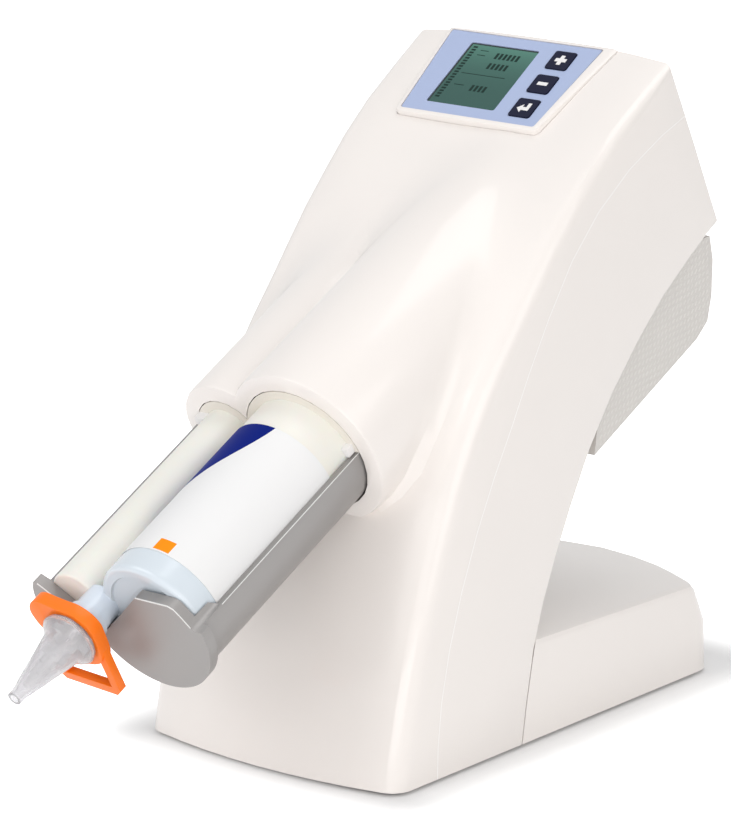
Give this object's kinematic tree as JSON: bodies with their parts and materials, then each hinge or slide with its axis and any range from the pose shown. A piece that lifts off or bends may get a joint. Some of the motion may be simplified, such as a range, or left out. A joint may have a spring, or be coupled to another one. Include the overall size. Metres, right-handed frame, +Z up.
{
  "type": "dental impression mixer",
  "caption": "Tabletop impression material mixer: sloping head, twin-barrel cartridge on a front carrier, clear mixing tip and a keypad on top.",
  "frame": {"origin": "centre of the overall outline at the level of the rubber pads' undersides", "axes": "+Z up, -Y towards the mixing tip and the user, +X to the right seen from the front"},
  "size_m": [0.1578, 0.4402, 0.3236],
  "materials": {
    "white_shell": "warm white moulded plastic, soft gloss",
    "grey_cover": "light grey textured plastic",
    "carrier_silver": "satin silver grey coating",
    "barrel_plastic": "milky translucent plastic",
    "label_paper": "smooth coated paper",
    "orange_plastic": "orange moulded plastic",
    "clear_plastic": "clear moulded plastic",
    "panel_film": "lavender blue printed film",
    "key_navy": "dark navy key caps",
    "lcd_window": "dark green display window",
    "steel": "machined steel",
    "aluminium_case": "bare aluminium",
    "board_green": "circuit board",
    "black_plastic": "black moulded plastic",
    "motor_black": "black painted motor can",
    "bush_bronze": "sintered bronze",
    "piston_white": "white polyethylene",
    "rubber": "black rubber"
  },
  "bodies": {
    "housing": {"front_shell": "white_shell", "rear_shell": "white_shell", "base_foot": "white_shell", "rear_cover": "grey_cover", "base_plate": "steel", "display_bezel": "white_shell", "control_overlay": "panel_film", "display_window": "lcd_window", "control_board": "board_green", "power_inlet": "black_plastic", "power_switch_frame": "black_plastic", "power_supply": "aluminium_case", "main_board": "board_green", "pedestal_left": "steel", "pedestal_right": "steel", "drive_bed": "aluminium_case", "front_bulkhead": "aluminium_case", "rear_bulkhead": "aluminium_case", "guide_rod_left": "steel", "guide_rod_right": "steel", "bearing_block_left": "aluminium_case", "bearing_block_right": "aluminium_case", "shaft_bush": "bush_bronze", "feed_motor": "motor_black", "motor_bracket": "steel", "mixer_motor": "motor_black", "cartridge_carrier": "carrier_silver", "cartridge": "barrel_plastic", "cartridge_label": "label_paper", "mixing_tip": "clear_plastic", "foot_pad_1": "rubber", "base_screw_1": "steel", "foot_pad_2": "rubber", "base_screw_2": "steel", "foot_pad_3": "rubber", "base_screw_3": "steel", "foot_pad_4": "rubber", "base_screw_4": "steel"},
    "plunger": {"plunger_yoke": "aluminium_case", "plunger_rack_large": "steel", "plunger_rack_small": "steel", "plunger_disc_large": "aluminium_case", "plunger_disc_small": "aluminium_case"},
    "large_piston": {"base_piston": "piston_white"},
    "small_piston": {"catalyst_piston": "piston_white"},
    "feed_shaft": {"pinion_shaft": "steel", "rack_pinion_large": "steel", "rack_pinion_small": "steel", "feed_gear": "steel"},
    "feed_motor_shaft": {"motor_pinion": "steel"},
    "mixer_drive": {"mixer_shaft": "steel", "mixer_rotor": "piston_white"},
    "tip_lock": {"locking_ring": "orange_plastic"},
    "plus_key": {"key_plus": "key_navy"},
    "minus_key": {"key_minus": "key_navy"},
    "enter_key": {"key_enter": "key_navy"},
    "rocker": {"power_rocker": "black_plastic"}
  },
  "joints": [
    {"name": "plunger_feed", "type": "slide", "parent": "housing", "child": "plunger", "axis": [0, -0.8881, -0.4597], "range_m": [0, 0.118]},
    {"name": "large_piston_feed", "type": "slide", "parent": "housing", "child": "large_piston", "axis": [0, -0.8881, -0.4597], "range_m": [0, 0.118]},
    {"name": "small_piston_feed", "type": "slide", "parent": "housing", "child": "small_piston", "axis": [0, -0.8881, -0.4597], "range_m": [0, 0.118]},
    {"name": "feed_shaft_turn", "type": "hinge", "parent": "housing", "child": "feed_shaft", "pos_m": [-0.01575, 0.02106, 0.17223], "axis": [1, 0, 0], "range_deg": [0, 564]},
    {"name": "motor_pinion_turn", "type": "hinge", "parent": "housing", "child": "feed_motor_shaft", "pos_m": [-0.01575, 0.05133, 0.17084], "axis": [1, 0, 0], "range_deg": [-1692, 0]},
    {"name": "mixer_spin", "type": "hinge", "parent": "housing", "child": "mixer_drive", "pos_m": [-0.01575, -0.0503, 0.15781], "axis": [0, -0.8881, -0.4597], "continuous": true},
    {"name": "ring_lock", "type": "hinge", "parent": "housing", "child": "tip_lock", "pos_m": [-0.01575, -0.17685, 0.0923], "axis": [0, -0.8881, -0.4597], "range_deg": [0, 90]},
    {"name": "plus_key_press", "type": "slide", "parent": "housing", "child": "plus_key", "axis": [0, 0.5476, -0.8368], "range_m": [0, 0.0005], "stiffness_N_per_m": 2000},
    {"name": "minus_key_press", "type": "slide", "parent": "housing", "child": "minus_key", "axis": [0, 0.5476, -0.8368], "range_m": [0, 0.0005], "stiffness_N_per_m": 2000},
    {"name": "enter_key_press", "type": "slide", "parent": "housing", "child": "enter_key", "axis": [0, 0.5476, -0.8368], "range_m": [0, 0.0005], "stiffness_N_per_m": 2000},
    {"name": "rocker_tip", "type": "hinge", "parent": "housing", "child": "rocker", "pos_m": [0.018, 0.05629, 0.0768], "axis": [-1, 0, 0], "range_deg": [0, 20]}
  ],
  "couplings": [
    {"joint": "large_piston_feed", "follows": "plunger_feed", "ratio": 1},
    {"joint": "small_piston_feed", "follows": "plunger_feed", "ratio": 1},
    {"joint": "feed_shaft_turn", "follows": "plunger_feed", "rad_per_m": 83.333},
    {"joint": "motor_pinion_turn", "follows": "plunger_feed", "rad_per_m": -250}
  ]
}
